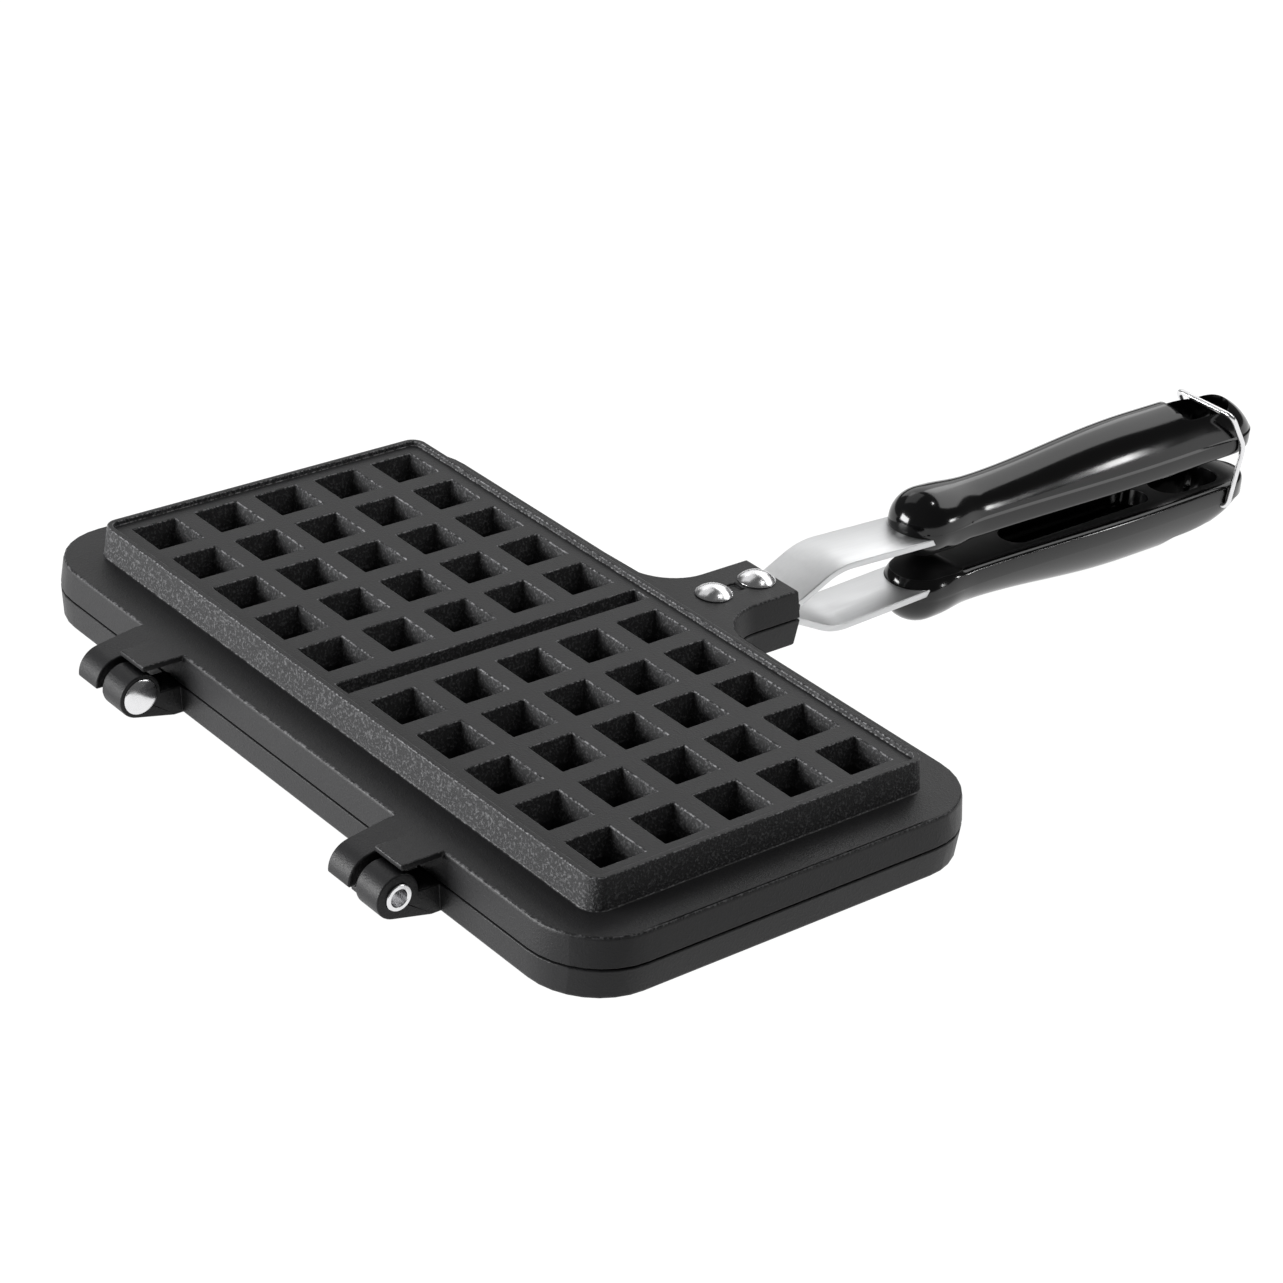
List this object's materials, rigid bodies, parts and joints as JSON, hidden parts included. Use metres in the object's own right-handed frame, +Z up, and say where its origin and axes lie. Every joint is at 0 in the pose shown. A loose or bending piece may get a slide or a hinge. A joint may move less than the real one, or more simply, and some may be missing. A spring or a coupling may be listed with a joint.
{
  "type": "stovetop waffle pan",
  "caption": "Hand-held hinged waffle pan: two cast plates of square pits back to back, riveted strap handles with dark grips, and a wire bail that holds the grips together.",
  "frame": {"origin": "centre of the lower plate's outer face, in the plane of the lip that it stands on", "axes": "+X along the hinge line, +Y from the hinges towards the ends of the grips, +Z up through the upper plate"},
  "size_m": [0.2264, 0.3486, 0.0451],
  "materials": {
    "cast_plate": "matte black non-stick coating on cast aluminium, worn grey and speckled on the block's walls and edges",
    "grip": "glossy black moulded plastic",
    "strap": "satin pressed strip",
    "bright_metal": "bright rivets, pins, screws and wire"
  },
  "bodies": {
    "base": {"lower_plate": "cast_plate", "hinge_pin_left": "bright_metal", "hinge_pin_right": "bright_metal", "lower_strap": "strap", "lower_rivet_front": "bright_metal", "lower_rivet_rear": "bright_metal", "lower_grip": "grip", "lower_grip_screw": "bright_metal"},
    "lid": {"upper_plate": "cast_plate", "upper_strap": "strap", "upper_rivet_front": "bright_metal", "upper_rivet_rear": "bright_metal", "upper_grip": "grip", "upper_grip_screw": "bright_metal"},
    "bail": {"latch_bail": "bright_metal"}
  },
  "joints": [
    {"name": "lid_hinge", "type": "hinge", "parent": "base", "child": "lid", "pos_m": [0, -0.0733, 0.01625], "axis": [1, 0, 0], "range_deg": [0, 180]},
    {"name": "bail_swing", "type": "hinge", "parent": "base", "child": "bail", "pos_m": [0, 0.256, 0.00525], "axis": [-1, 0, 0], "range_deg": [0, 240]}
  ]
}
